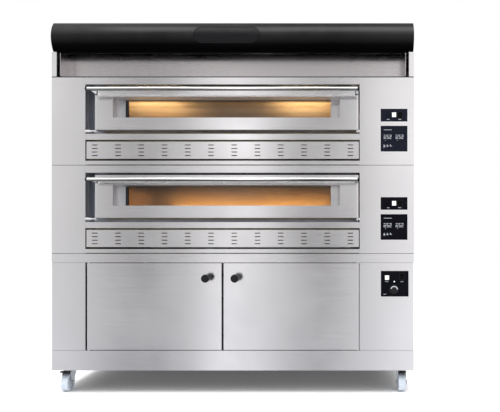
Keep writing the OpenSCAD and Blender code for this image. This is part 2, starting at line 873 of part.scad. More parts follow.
module cable_glands()
    color(black)
        for (z = gland_up)
            difference() {
                union() {
                    rod_y(gland_x, [body_d - 12, body_d], z, gland_neck_r);
                    rod_y(gland_x, [body_d, body_d + 8], z, 16, $fn = 6);
                    rod_y(gland_x, [body_d + 8, body_d + gland_reach], z, 13);
                }
                rod_y(gland_x, [body_d - 13, body_d + gland_reach + 1], z, gland_bore_r);
            }

// ---- Nodes: prover ----

module prover_casing()
    color(steel) {
        inner_x = [left + sheet + seam, right - sheet - seam];
        liner_x = [column_l + sheet + seam, column_r - sheet - seam];
        liner_y = [reveal_d, body_d - 30];
        floor_z = leaf_z[0] - 3;
        ceiling_z = leaf_z[1] + 6;
        // outer panels
        for (x = [left, right - sheet])
            slab([x, x + sheet], [sheet + seam, body_d], [prover_z, lower_z]);
        slab(inner_x, [sheet + seam, body_d], [prover_z, prover_z + sheet]);
        slab(inner_x, [sheet + seam, body_d], [lower_z - sheet, lower_z]);
        difference() {
            slab(inner_x, [body_d - sheet, body_d],
                [prover_z + sheet + seam, lower_z - sheet - seam]);
            rod_y(gland_x, [body_d - 10, body_d + 1], gland_up[0], gland_neck_r + 0.2);
        }
        // inner floor, ceiling, sides and back
        slab(liner_x, liner_y, [floor_z - sheet, floor_z]);
        slab(liner_x, liner_y, [ceiling_z, ceiling_z + sheet]);
        for (x = [column_l, column_r - sheet])
            slab([x, x + sheet], liner_y, [floor_z - sheet, ceiling_z + sheet]);
        slab(liner_x, [liner_y[1] - sheet, liner_y[1]], [floor_z + seam, ceiling_z - seam]);
    }

module prover_fascia()
    color(steel) {
        face_z = [leaf_z[0] - 2, leaf_z[1] + 2];
        slab([left, column_l], [0, sheet], face_z);
        slab([column_l - sheet, column_l], [sheet, reveal_d - seam], face_z);
        difference() {
            union() {
                slab([column_r, right], [0, sheet], face_z);
                slab([column_r, column_r + sheet], [sheet, reveal_d - seam], face_z);
            }
            slab([prover_plate_x[0] + 8, prover_plate_x[1] - 8], [-1, sheet + 1],
                [prover_plate_z[0] + 8, prover_plate_z[1] - 8]);
        }
    }

module prover_rails()
    color(steel) {
        plinth_top = leaf_z[0] - 3;
        header_low_z = leaf_z[1] + 3;
        // plinth with its top flange, and header with its bottom flange
        slab([left, right], [0, sheet], [prover_z, plinth_top]);
        slab([column_l, column_r], [sheet, reveal_d - seam], [plinth_top - sheet, plinth_top]);
        slab([left, right], [0, sheet], [header_low_z, lower_z - 1]);
        slab([column_l, column_r], [sheet, reveal_d - seam], [header_low_z, header_low_z + sheet]);
    }

module prover_door_left()
    color(steel)
        prover_leaf(leaf_x_left, leaf_x_left[0] + leaf_pivot_in);

module prover_door_right()
    color(steel)
        prover_leaf(leaf_x_right, leaf_x_right[1] - leaf_pivot_in);

module prover_knob_left() color(black) pull_knob(mouth_mid - knob_from_gap);
module prover_knob_right() color(black) pull_knob(mouth_mid + knob_from_gap);

// Angle runners on uprights, in two bays beside the middle of the cupboard
module prover_tray_runners()
    color(zinc) {
        walls = [column_l + sheet, mouth_mid, mouth_mid, column_r - sheet];
        facing = [1, -1, 1, -1];
        post_t = 3;
        post_y = [runner_y[0] + 20, runner_y[1] - 50];
        post_z = [leaf_z[0] - 2.5, leaf_z[1]];
        for (i = [0:3]) {
            post_a = walls[i] + facing[i] * seam;
            post_b = walls[i] + facing[i] * post_t;
            post_x = [min(post_a, post_b), max(post_a, post_b)];
            for (y = post_y)
                slab(post_x, [y, y + 30], post_z);
            web = post_b + facing[i] * seam;
            web_x = [min(web, web + facing[i] * runner_t), max(web, web + facing[i] * runner_t)];
            arm_x = [min(web, web + facing[i] * runner_w), max(web, web + facing[i] * runner_w)];
            for (k = [0:tray_levels - 1]) {
                z = leaf_z[0] + 62 + k * tray_pitch;
                slab(web_x, runner_y, [z, z + runner_w]);
                slab(arm_x, runner_y, [z, z + runner_t]);
            }
        }
    }

// Finned air heater on the back wall
module prover_heater()
    color(dark_steel) {
        y = body_d - 34;
        z = leaf_z[0] + 90;
        bend_r = 30;
        slab([mouth_mid - 250, mouth_mid + 250], [y - 3, y], [z - 20, z + 80]);
        for (leg = [0, 2 * bend_r])
            rod_x([mouth_mid - 200, mouth_mid + 200], y - 22, z + leg, element_r);
        translate([mouth_mid - 200, front + y - 22, z + bend_r])
            rotate([90, 0, 0])
                rotate([0, 0, 90])
                    rotate_extrude(angle = 180)
                        translate([bend_r, 0])
                            circle(r = element_r);
        for (i = [0:10])
            slab([mouth_mid - 180 + 36 * i, mouth_mid - 178 + 36 * i], [y - 36, y - 3],
                [z - 14, z + 74]);
    }

// Open pan that gives the prover its moisture
module prover_water_pan()
    color(steel) {
        x = [mouth_mid - 200, mouth_mid + 200];
        y = [body_d - 230, body_d - 90];
        z = [leaf_z[0] - 3, leaf_z[0] + 42];
        difference() {
            slab(x, y, z);
            slab([x[0] + sheet, x[1] - sheet], [y[0] + sheet, y[1] - sheet], [z[0] + sheet, z[1] + 1]);
        }
    }

module prover_control_plate()
    color(black) {
        difference() {
            slab(prover_plate_x, [-plate_t, 0], prover_plate_z);
            switch_hole(light_switch_at[0], light_switch_at[1], button_size);
            switch_hole(power_switch_at[0], power_switch_at[1], rocker_size);
            rod_y(dial_at[0], [-5, 5], dial_at[1], spindle_r + 1);
        }
        // pilot lamp
        rod_y(pilot_at[0], [-plate_t - 3, -plate_t], pilot_at[1], 3);
    }

module prover_light_switch() color(white) push_button(light_switch_at[0], light_switch_at[1], button_size);
module prover_power_switch() color(black) rocker(power_switch_at[0], power_switch_at[1]);

// Thermostat knob: skirt, grip, pointer rib and spindle
module prover_thermostat_knob()
    color(black) {
        rod_y(dial_at[0], [-plate_t - 6, -plate_t - 1], dial_at[1], dial_r);
        rod_y(dial_at[0], [-plate_t - 22, -plate_t - 6], dial_at[1], dial_r - 5);
        slab([dial_at[0] - 2.5, dial_at[0] + 2.5], [-plate_t - 24, -plate_t - 7],
            [dial_at[1] - dial_r + 6, dial_at[1] + dial_r - 2]);
        rod_y(dial_at[0], [-plate_t - 6, 28], dial_at[1], spindle_r);
    }

// ---- Nodes: castors ----

module castor_plates()
    color(zinc)
        for (x = [-castor_x, castor_x], y = [castor_front_y, castor_rear_y])
            castor_plate(x, y);

module castor_fork_front_left() color(zinc) castor_fork(-castor_x, castor_front_y, -castor_trail, true);
module castor_fork_front_right() color(zinc) castor_fork(castor_x, castor_front_y, -castor_trail, true);
module castor_fork_rear_left() color(zinc) castor_fork(-castor_x, castor_rear_y, castor_trail, false);
module castor_fork_rear_right() color(zinc) castor_fork(castor_x, castor_rear_y, castor_trail, false);
module castor_wheel_front_left() color(white) castor_wheel(-castor_x, castor_front_y - castor_trail);
module castor_wheel_front_right() color(white) castor_wheel(castor_x, castor_front_y - castor_trail);
module castor_wheel_rear_left() color(white) castor_wheel(-castor_x, castor_rear_y + castor_trail);
module castor_wheel_rear_right() color(white) castor_wheel(castor_x, castor_rear_y + castor_trail);
module brake_pedal_left() color(black) brake_pedal(-castor_x);
module brake_pedal_right() color(black) brake_pedal(castor_x);

hood_canopy();
hood_housing();
hood_intake_panel();
hood_badge();
hood_flue_spigot();
upper_casing();
upper_fascia();
upper_vent_panel();
upper_chamber();
upper_door_skin();
upper_door_liner();
upper_door_glass();
upper_handle();
upper_control_plates();
upper_light_button();
upper_power_rocker();
lower_casing();
lower_fascia();
lower_vent_panel();
lower_chamber();
lower_door_skin();
lower_door_liner();
lower_door_glass();
lower_handle();
lower_control_plates();
lower_light_button();
lower_power_rocker();
deck_rails();
insulation_blocks();
stone_floors();
heating_elements();
chamber_lamps();
hinge_pins();
control_gear();
cable_glands();
prover_casing();
prover_fascia();
prover_rails();
prover_door_left();
prover_door_right();
prover_knob_left();
prover_knob_right();
prover_tray_runners();
prover_heater();
prover_water_pan();
prover_control_plate();
prover_light_switch();
prover_power_switch();
prover_thermostat_knob();
castor_plates();
castor_fork_front_left();
castor_fork_front_right();
castor_fork_rear_left();
castor_fork_rear_right();
castor_wheel_front_left();
castor_wheel_front_right();
castor_wheel_rear_left();
castor_wheel_rear_right();
brake_pedal_left();
brake_pedal_right();
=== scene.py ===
import math

import bmesh
import bpy
from mathutils import Matrix, Vector


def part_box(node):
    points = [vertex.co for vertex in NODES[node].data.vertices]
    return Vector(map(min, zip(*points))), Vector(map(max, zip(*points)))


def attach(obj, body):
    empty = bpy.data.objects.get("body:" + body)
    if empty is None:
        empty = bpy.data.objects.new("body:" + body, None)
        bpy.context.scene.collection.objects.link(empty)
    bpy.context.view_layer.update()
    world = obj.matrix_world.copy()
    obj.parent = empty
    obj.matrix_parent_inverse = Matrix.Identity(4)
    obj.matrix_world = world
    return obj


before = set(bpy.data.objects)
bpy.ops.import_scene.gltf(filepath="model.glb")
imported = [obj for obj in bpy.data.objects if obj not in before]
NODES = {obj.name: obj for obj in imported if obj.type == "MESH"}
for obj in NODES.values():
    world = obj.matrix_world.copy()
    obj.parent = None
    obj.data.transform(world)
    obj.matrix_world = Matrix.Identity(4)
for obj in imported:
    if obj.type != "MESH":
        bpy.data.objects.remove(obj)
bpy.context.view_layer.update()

DECKS = ("lower", "upper")
CASINGS = ("prover_casing", "lower_casing", "upper_casing")
MM = 0.001

# ---------------------------------------------------------------- places
# The front plane is the front of the fascia; everything else is found from
# the boxes of the CAD nodes.

FRONT_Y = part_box("lower_fascia")[0].y
BODY_LO, BODY_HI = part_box("lower_casing")


# ---------------------------------------------------------------- node helpers

def add_node(tree, kind, **values):
    """A shader node; a value named after a socket sets it, or links it if it is a socket."""
    node = tree.nodes.new(kind)
    for key, value in values.items():
        name = key.replace("_", " ")
        if name in node.inputs:
            if isinstance(value, bpy.types.NodeSocket):
                tree.links.new(value, node.inputs[name])
            else:
                node.inputs[name].default_value = value
        else:
            setattr(node, key, value)
    return node


def math_node(tree, operation, a, b=0.5):
    node = tree.nodes.new("ShaderNodeMath")
    node.operation = operation
    for socket, value in zip(node.inputs, (a, b)):
        if isinstance(value, bpy.types.NodeSocket):
            tree.links.new(value, socket)
        else:
            socket.default_value = value
    return node.outputs[0]


def remap(tree, value, low, high, source=(0.0, 1.0)):
    node = add_node(tree, "ShaderNodeMapRange", Value=value, From_Min=source[0],
                    From_Max=source[1], To_Min=low, To_Max=high)
    return node.outputs["Result"]


def mix_colors(tree, factor, a, b, blend="MIX"):
    node = tree.nodes.new("ShaderNodeMix")
    node.data_type = "RGBA"
    node.blend_type = blend
    sockets = (node.inputs["Factor"], node.inputs[6], node.inputs[7])
    for socket, value in zip(sockets, (factor, a, b)):
        if isinstance(value, bpy.types.NodeSocket):
            tree.links.new(value, socket)
        else:
            socket.default_value = value
    return node.outputs[2]


def rgb(r, g, b):
    return (r, g, b, 1.0)


def object_noise(tree, scale, detail=3.0, stretch=(1, 1, 1), roughness=0.55):
    """Noise over the object's own coordinates, in metres."""
    coords = tree.nodes.new("ShaderNodeTexCoord")
    mapping = add_node(tree, "ShaderNodeMapping", Vector=coords.outputs["Object"], Scale=stretch)
    return add_node(tree, "ShaderNodeTexNoise", Vector=mapping.outputs[0], Scale=scale,
                    Detail=detail, Roughness=roughness).outputs["Fac"]


def blank_material(name):
    material = bpy.data.materials.new(name)
    material.use_nodes = True
    tree = material.node_tree
    tree.nodes.clear()
    output = tree.nodes.new("ShaderNodeOutputMaterial")
    surface = tree.nodes.new("ShaderNodeBsdfPrincipled")
    tree.links.new(surface.outputs[0], output.inputs[0])
    return material, tree, surface


def bump(tree, surface, height, strength, distance):
    node = add_node(tree, "ShaderNodeBump", Height=height, Strength=strength, Distance=distance)
    tree.links.new(node.outputs[0], surface.inputs["Normal"])


# ---------------------------------------------------------------- materials

STREAKS_ALONG = 3.0
STREAKS_ACROSS = 700.0


def facing(tree, axis, threshold):
    """1 where the surface faces along the axis, either way, and 0 elsewhere."""
    coords = tree.nodes.new("ShaderNodeTexCoord")
    normal = add_node(tree, "ShaderNodeSeparateXYZ", Vector=coords.outputs["Normal"])
    return math_node(tree, "GREATER_THAN", math_node(tree, "ABSOLUTE", normal.outputs[axis]),
                     threshold)


def brushed_direction(tree):
    """Coordinates stretched along the rolling direction: X, or Y on the side panels."""
    coords = tree.nodes.new("ShaderNodeTexCoord")
    along_x = add_node(tree, "ShaderNodeMapping", Vector=coords.outputs["Object"],
                       Scale=(STREAKS_ALONG, STREAKS_ACROSS, STREAKS_ACROSS))
    along_y = add_node(tree, "ShaderNodeMapping", Vector=coords.outputs["Object"],
                       Scale=(STREAKS_ACROSS, STREAKS_ALONG, STREAKS_ACROSS))
    choice = tree.nodes.new("ShaderNodeMix")
    choice.data_type = "VECTOR"
    tree.links.new(facing(tree, "X", 0.7), choice.inputs["Factor"])
    tree.links.new(along_x.outputs[0], choice.inputs[4])
    tree.links.new(along_y.outputs[0], choice.inputs[5])
    return choice.outputs[1]


def brushed_steel(name, tone, roughness, stain=None, dull_returns=0.0):
    """Rolled and brushed sheet: fine streaks, cloudy wear in the gloss, faint smears.

    The faces turned away from the front can be duller than the rest.
    """
    material, tree, surface = blank_material(name)
    vector = brushed_direction(tree)
    coarse = add_node(tree, "ShaderNodeTexNoise", Vector=vector, Scale=1.0, Detail=4.0,
                      Roughness=0.7).outputs["Fac"]
    fine = add_node(tree, "ShaderNodeTexNoise", Vector=vector, Scale=5.0, Detail=2.0,
                    Roughness=0.6).outputs["Fac"]
    cloud = object_noise(tree, 2.2, 4.0)
    streak = math_node(tree, "ADD", math_node(tree, "MULTIPLY", coarse, 0.6),
                       math_node(tree, "MULTIPLY", fine, 0.4))
    dark = rgb(*[c * 0.93 for c in tone])
    light = rgb(*[min(1.0, c * 1.04) for c in tone])
    color = mix_colors(tree, remap(tree, streak, 0.0, 1.0, (0.3, 0.7)), dark, light)
    if stain:
        blotch = object_noise(tree, 6.0, 5.0)
        color = mix_colors(tree, remap(tree, blotch, 0.0, 0.9, (0.35, 0.7)), color, rgb(*stain))
    tree.links.new(color, surface.inputs["Base Color"])
    rough = math_node(tree, "ADD", remap(tree, streak, -0.03, 0.04, (0.3, 0.7)),
                      remap(tree, cloud, roughness - 0.04, roughness + 0.05, (0.3, 0.7)))
    if dull_returns:
        front = facing(tree, "Y", 0.6)
        dull = math_node(tree, "MULTIPLY", math_node(tree, "SUBTRACT", 1.0, front), dull_returns)
        rough = math_node(tree, "ADD", rough, dull)
    tree.links.new(rough, surface.inputs["Roughness"])
    surface.inputs["Metallic"].default_value = 1.0
    bump(tree, surface, streak, 0.02, 0.0002)
    return material


def worn_plastic(name, color, roughness, grain=900.0, coat=0.0, wear=0.12, ior=1.5):
    """Moulded plastic or paint: fine grain, uneven gloss, and dust in the tone."""
    material, tree, surface = blank_material(name)
    cloud = object_noise(tree, 14.0, 5.0)
    speck = object_noise(tree, grain, 2.0)
    light = rgb(*[min(1.0, c + wear * (0.25 + c)) for c in color])
    tone = mix_colors(tree, remap(tree, cloud, 0.0, 0.6, (0.45, 0.75)), rgb(*color), light)
    tree.links.new(tone, surface.inputs["Base Color"])
    rough = remap(tree, cloud, max(0.02, roughness - 0.06), roughness + 0.08, (0.3, 0.7))
    tree.links.new(rough, surface.inputs["Roughness"])
    surface.inputs["IOR"].default_value = ior
    surface.inputs["Coat Weight"].default_value = coat
    surface.inputs["Coat Roughness"].default_value = 0.06
    bump(tree, surface, speck, 0.06, 0.0003)
    return material


def chamber_material():
    """Heat-stained steel, unstained about the mouth, where it is darker and bluer than the outer
    steel: painted shade and a painted bluish reflection in the recess.
    """
    material, tree, surface = blank_material("chamber_steel")
    coords = tree.nodes.new("ShaderNodeTexCoord")
    place = add_node(tree, "ShaderNodeSeparateXYZ", Vector=coords.outputs["Object"])
    inside = remap(tree, place.outputs["Y"], 0.0, 1.0, (FRONT_Y + 0.105, FRONT_Y + 0.125))
    blotch = object_noise(tree, 6.0, 5.0)
    grain = object_noise(tree, 300.0, 3.0, (0.02, 1, 1))
    stained = mix_colors(tree, remap(tree, blotch, 0.0, 0.9, (0.35, 0.7)), rgb(0.62, 0.55, 0.46),
                         rgb(0.45, 0.36, 0.26))
    # painted shade and bluish reflection: the unstained mouth is darker and bluer than the outer
    # steel
    clean_with_painted_shade = mix_colors(tree, grain, rgb(0.44, 0.47, 0.52), rgb(0.52, 0.55, 0.60))
    tree.links.new(mix_colors(tree, inside, clean_with_painted_shade, stained), surface.inputs["Base Color"])
    tree.links.new(remap(tree, grain, 0.50, 0.60, (0.3, 0.7)), surface.inputs["Roughness"])
    surface.inputs["Metallic"].default_value = 1.0
    bump(tree, surface, grain, 0.06, 0.0003)
    return material


def canopy_material():
    """Black paint, lighter and glossier where it faces upwards, in cloudy patches: a painted top
    sheen for the light from above.
    """
    material, tree, surface = blank_material("canopy_paint")
    coords = tree.nodes.new("ShaderNodeTexCoord")
    normal = add_node(tree, "ShaderNodeSeparateXYZ", Vector=coords.outputs["Normal"])
    upward = remap(tree, normal.outputs["Z"], 0.0, 1.0, (-0.35, 0.45))
    cloud = object_noise(tree, 9.0, 5.0)
    # painted top sheen: lighter base colour and more specular on upward faces, standing in for
    # light from above
    painted_top_sheen = math_node(tree, "MULTIPLY", upward, remap(tree, cloud, 0.8, 1.0, (0.35, 0.7)))
    tree.links.new(mix_colors(tree, painted_top_sheen, rgb(0.0005, 0.0005, 0.0007), rgb(0.022, 0.022, 0.023)),
                   surface.inputs["Base Color"])
    tree.links.new(remap(tree, painted_top_sheen, 0.10, 0.58), surface.inputs["Specular IOR Level"])
    tree.links.new(remap(tree, cloud, 0.16, 0.26, (0.3, 0.7)), surface.inputs["Roughness"])
    surface.inputs["IOR"].default_value = 1.31
    return material


def glass_material(name, tint):
    """Oven glass: warm tint, a film of baked grease that changes the gloss."""
    material, tree, surface = blank_material(name)
    film = object_noise(tree, 5.0, 5.0, (1, 1, 3))
    color = mix_colors(tree, remap(tree, film, 0.0, 1.0, (0.35, 0.7)), rgb(*tint),
                       rgb(*[c * 0.92 for c in tint]))
    tree.links.new(color, surface.inputs["Base Color"])
    tree.links.new(remap(tree, film, 0.18, 0.26, (0.3, 0.7)), surface.inputs["Roughness"])
    surface.inputs["Transmission Weight"].default_value = 1.0
    surface.inputs["IOR"].default_value = 1.46
    return material


def stone_material():
    """Fired baking stone: sandy grain, pores and browned patches."""
    material, tree, surface = blank_material("baking_stone")
    patch = object_noise(tree, 7.0, 5.0)
    grain = object_noise(tree, 240.0, 4.0)
    base = mix_colors(tree, remap(tree, patch, 0.0, 1.0, (0.35, 0.7)), rgb(0.50, 0.42, 0.32),
                      rgb(0.32, 0.23, 0.15))
    color = mix_colors(tree, remap(tree, grain, 0.0, 0.6, (0.4, 0.7)), base, rgb(0.66, 0.58, 0.47))
    tree.links.new(color, surface.inputs["Base Color"])
    tree.links.new(remap(tree, grain, 0.75, 0.95), surface.inputs["Roughness"])
    bump(tree, surface, grain, 0.4, 0.0006)
    return material


def wool_material():
    """Mineral wool: crossed fibres in yellow and brown."""
    material, tree, surface = blank_material("mineral_wool")
    along = object_noise(tree, 160.0, 4.0, (0.15, 1, 1))
    across = object_noise(tree, 160.0, 4.0, (1, 0.15, 1))
    fibre = math_node(tree, "MULTIPLY", along, across)
    color = mix_colors(tree, remap(tree, fibre, 0.0, 1.0, (0.1, 0.4)), rgb(0.45, 0.35, 0.15),
                       rgb(0.86, 0.78, 0.5))
    tree.links.new(color, surface.inputs["Base Color"])
    tree.links.new(remap(tree, fibre, 0.85, 1.0, (0.1, 0.4)), surface.inputs["Roughness"])
    bump(tree, surface, fibre, 0.8, 0.003)
    return material


def glowing_material(name, color, strength):
    """Lamp glass: frosted, lit from inside, brighter in patches."""
    material, tree, surface = blank_material(name)
    frost = object_noise(tree, 60.0, 4.0)
    tone = mix_colors(tree, remap(tree, frost, 0.0, 1.0, (0.35, 0.7)), rgb(*color),
                      rgb(*[c * 0.85 for c in color]))
    tree.links.new(tone, surface.inputs["Base Color"])
    tree.links.new(tone, surface.inputs["Emission Color"])
    surface.inputs["Emission Strength"].default_value = strength
    tree.links.new(remap(tree, frost, 0.25, 0.5), surface.inputs["Roughness"])
    return material


STEEL_TONE = (0.788, 0.772, 0.784)
MATERIALS = {
    "stainless": brushed_steel("stainless", STEEL_TONE, 0.20),
    "door": brushed_steel("door_steel", STEEL_TONE, 0.20, dull_returns=0.40),
    # painted shade: a darker copy of the steel for the hood's intake panel, standing in for the
    # canopy's shadow
    "painted_shade_steel": brushed_steel("intake_steel_painted_shade", (0.56, 0.53, 0.535), 0.26),
    "polished": brushed_steel("polished_steel", (0.82, 0.82, 0.82), 0.14),
    "liner": brushed_steel("liner_steel", (0.62, 0.58, 0.54), 0.32, (0.34, 0.24, 0.16)),
    "chamber": chamber_material(),
    "element": brushed_steel("element_steel", (0.20, 0.18, 0.17), 0.5, (0.30, 0.17, 0.10)),
    "zinc": brushed_steel("zinc", (0.62, 0.64, 0.66), 0.34),
    "canopy": canopy_material(),
    "badge": worn_plastic("badge_plate", (0.004, 0.004, 0.005), 0.30, grain=800.0,
                          wear=0.006, ior=1.26),
    "panel": worn_plastic("panel_face", (0.0015, 0.0015, 0.004), 0.16, wear=0.004, ior=1.16),
    "navy": worn_plastic("navy_face", (0.005, 0.006, 0.013), 0.18, wear=0.006, ior=1.20),
    "black": worn_plastic("black_plastic", (0.007, 0.007, 0.008), 0.34, grain=1200.0,
                          wear=0.012, ior=1.32),
    "jet": worn_plastic("rocker_plastic", (0.0010, 0.0010, 0.0014), 0.22, grain=1200.0,
                        wear=0.003, ior=1.18),
    "rubber": worn_plastic("gasket_rubber", (0.010, 0.010, 0.010), 0.62, grain=1500.0, wear=0.04),
    "white": worn_plastic("white_plastic", (0.80, 0.80, 0.78), 0.28, grain=1200.0,
                          coat=0.3, wear=0.05),
    "print": worn_plastic("white_print", (0.50, 0.52, 0.56), 0.40, grain=1500.0, wear=0.05),
    "nylon": worn_plastic("wheel_nylon", (0.58, 0.64, 0.72), 0.42, grain=700.0, wear=-0.20),
    "gear": worn_plastic("gear_housing", (0.10, 0.11, 0.13), 0.5, wear=0.05),
    "stone": stone_material(),
    "wool": wool_material(),
    "glass": glass_material("oven_glass", (0.98, 0.86, 0.66)),
    "lamp": glowing_material("lamp_glass", (1.0, 0.86, 0.6), 3.0),
    "pilot": glowing_material("pilot_lens", (0.95, 0.95, 0.92), 0.8),
}

NODE_MATERIALS = {
    "hood_canopy": "canopy",
    "hood_badge": "badge",
    "hood_flue_spigot": "zinc",
    "hood_intake_panel": "painted_shade_steel",
    "insulation_blocks": "wool",
    "stone_floors": "stone",
    "heating_elements": "element",
    "prover_heater": "element",
    "chamber_lamps": "lamp",
    "hinge_pins": "polished",
    "control_gear": "gear",
    "cable_glands": "black",
    "prover_tray_runners": "zinc",
    "prover_control_plate": "panel",
    "prover_light_switch": "white",
    "castor_plates": "zinc",
    "upper_control_plates": "navy",
    "lower_control_plates": "panel",
}
NODE_ENDINGS = {
    "_chamber": "chamber",
    "_door_skin": "door",
    "_door_liner": "liner",
    "_door_glass": "glass",
    "_handle": "polished",
    "_light_button": "white",
    "_power_rocker": "jet",
    "_power_switch": "jet",
    "_knob": "black",
    "_knob_left": "black",
    "_knob_right": "black",
}
NODE_BEGINNINGS = {
    "castor_fork": "zinc",
    "castor_wheel": "nylon",
    "brake_pedal": "black",
}


def material_of(node):
    if node in NODE_MATERIALS:
        return NODE_MATERIALS[node]
    for start, key in NODE_BEGINNINGS.items():
        if node.startswith(start):
            return key
    for end, key in NODE_ENDINGS.items():
        if node.endswith(end):
            return key
    return "stainless"


def paint(obj, key):
    obj.data.materials.clear()
    obj.data.materials.append(MATERIALS[key])


def soften_edges(obj, width):
    """Rounded sheet edges that catch the light."""
    modifier = obj.modifiers.new("edge", "BEVEL")
    modifier.width = width
    modifier.segments = 2
    modifier.limit_method = "ANGLE"
    modifier.angle_limit = math.radians(50)
    modifier.harden_normals = True


SHEET_ENDINGS = ("_fascia", "_casing", "_rails", "_door_skin", "_door_liner", "_housing",
                 "_intake_panel", "_door_left", "_door_right", "_plates", "_plate",
                 "_light_button", "_light_switch")


def dress_cad_nodes():
    """A material for each CAD node, and soft edges on the sheet and the buttons."""
    for name, obj in NODES.items():
        paint(obj, material_of(name))
        if name.endswith(SHEET_ENDINGS):
            soften_edges(obj, 0.6 * MM)


# ---------------------------------------------------------------- mesh helpers

def finish_piece(name, mesh, body, key, smooth=False, bevel=0.0):
    """An object with a material, riding on a body."""
    obj = bpy.data.objects.new(name, mesh)
    bpy.context.scene.collection.objects.link(obj)
    paint(obj, key)
    for polygon in mesh.polygons:
        polygon.use_smooth = smooth
    if bevel:
        soften_edges(obj, bevel)
    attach(obj, body)
    return obj


def mesh_from(bm, name):
    mesh = bpy.data.meshes.new(name)
    bmesh.ops.recalc_face_normals(bm, faces=bm.faces)
    bm.to_mesh(mesh)
    bm.free()
    return mesh


def add_box(bm, low, high):
    """A closed box between two corners."""
    size = Vector(high) - Vector(low)
    centre = (Vector(high) + Vector(low)) / 2
    matrix = Matrix.Translation(centre) @ Matrix.Diagonal((*size, 1.0))
    bmesh.ops.create_cube(bm, size=1.0, matrix=matrix)


def add_lathe(bm, origin, axis, profile, segments=24):
    """A closed turned form whose profile, from the axis and back to it, is (radius, height)."""
    turn = Vector((0, 0, 1)).rotation_difference(Vector(axis)).to_matrix()
    rings = []
    for radius, along in profile:
        if radius == 0:
            rings.append([bm.verts.new(Vector(origin) + turn @ Vector((0, 0, along)))])
            continue
        ring = []
        for i in range(segments):
            angle = 2 * math.pi * i / segments
            point = Vector((radius * math.cos(angle), radius * math.sin(angle), along))
            ring.append(bm.verts.new(Vector(origin) + turn @ point))
        rings.append(ring)
    for a, b in zip(rings, rings[1:]):
        for i in range(segments):
            corners = [a[i % len(a)], a[(i + 1) % len(a)], b[(i + 1) % len(b)], b[i % len(b)]]
            unique = list(dict.fromkeys(corners))
            if len(unique) > 2:
                bm.faces.new(unique)


def add_tube(bm, points, radius, sides=10, closed=False):
    """A round bar along a path of points."""
    count = len(points)
    rings = []
    for i, point in enumerate(points):
        before = points[i - 1] if closed or i > 0 else point
        after = points[(i + 1) % count] if closed or i < count - 1 else point
        along = (Vector(after) - Vector(before)).normalized()
        side = along.cross(Vector((0.13, 0.98, 0.15))).normalized()
        up = side.cross(along)
        rings.append([
            bm.verts.new(Vector(point) + radius * (
                math.cos(2 * math.pi * k / sides) * side + math.sin(2 * math.pi * k / sides) * up))
            for k in range(sides)])
    pairs = list(zip(rings, rings[1:]))
    if closed:
        pairs.append((rings[-1], rings[0]))
    else:
        bm.faces.new(rings[0])
        bm.faces.new(rings[-1])
    for a, b in pairs:
        for k in range(sides):
            bm.faces.new([a[k], a[(k + 1) % sides], b[(k + 1) % sides], b[k]])


def add_screw(bm, point, axis, radius=4 * MM):
    """A pan-head screw with a round recess."""
    add_lathe(bm, point, axis, [
        (0, -0.2 * MM), (radius, -0.2 * MM), (radius, 0.5 * MM), (radius * 0.85, 1.2 * MM),
        (radius * 0.5, 1.6 * MM), (radius * 0.36, 1.6 * MM), (radius * 0.28, 0.9 * MM),
        (0, 0.9 * MM)], 16)


# ---------------------------------------------------------------- deck details

def window_of(deck):
    """The window recess: its left, right, low and high edges, and the lips' plane."""
    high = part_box(deck + "_door_skin")[1]
    glass_low, glass_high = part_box(deck + "_door_glass")
    left = glass_low.x - 26 * MM
    right = glass_high.x + 18 * MM
    return left, right, glass_low.z + 11 * MM, glass_high.z - 11 * MM, high.y - 2 * MM


def make_window_trim(deck):
    """A clamping strip on the left lip, and black gaskets beside and along the pane."""
    left, right, low, high, plane = window_of(deck)
    face = plane - 0.2 * MM
    span = (low + 1 * MM, high - 1 * MM)
    bm = bmesh.new()
    add_box(bm, (left + 36 * MM, face - 4 * MM, span[0]), (left + 51 * MM, face, span[1]))
    for z in (low + 1 * MM, high - 4 * MM):
        add_box(bm, (left + 52 * MM, face - 1 * MM, z),
                (right - 41 * MM, face + 2 * MM, z + 3 * MM))
    finish_piece(deck + "_window_gasket", mesh_from(bm, "window_gasket"), deck + "_door",
                 "rubber", bevel=0.8 * MM)
    bm = bmesh.new()
    add_box(bm, (left + 13 * MM, face - 2 * MM, span[0]), (left + 35 * MM, face, span[1]))
    for z in (low + 12 * MM, high - 12 * MM):
        add_screw(bm, (left + 24 * MM, face - 2 * MM, z), (0, -1, 0), 3 * MM)
    finish_piece(deck + "_window_strip", mesh_from(bm, "window_strip"), deck + "_door",
                 "zinc", bevel=0.5 * MM)


def make_handle_caps(deck):
    """Plugs in the ends of the tube and washers behind its brackets, in black: painted shadow and
    dark reflection at the handle's ends.
    """
    low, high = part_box(deck + "_handle")
    radius = (high.z - low.z) / 2
    y, z = low.y + radius, (high.z + low.z) / 2
    bm = bmesh.new()
    for x, out in ((low.x, -1), (high.x, 1)):
        add_lathe(bm, (x - out * 7 * MM, y, z), (out, 0, 0), [
            (0, 0), (radius + 0.5 * MM, 0), (radius + 0.5 * MM, 7.4 * MM),
            (radius - 1.5 * MM, 8.6 * MM), (0, 8.6 * MM)], 32)
    for x in (low.x + 15 * MM, high.x - 6 * MM):
        add_box(bm, (x - 6 * MM, high.y - 2.5 * MM, z - 9 * MM), (x + 6 * MM, high.y, z + 9 * MM))
    finish_piece(deck + "_handle_caps", mesh_from(bm, "handle_caps"), deck + "_door",
                 "black", bevel=0.5 * MM)


def mark(bm, x, z, width, height, face):
    """A printed bar on a control plate whose face is at y = face."""
    add_box(bm, (x, face - 0.25 * MM, z), (x + width, face + 0.1 * MM, z + height))


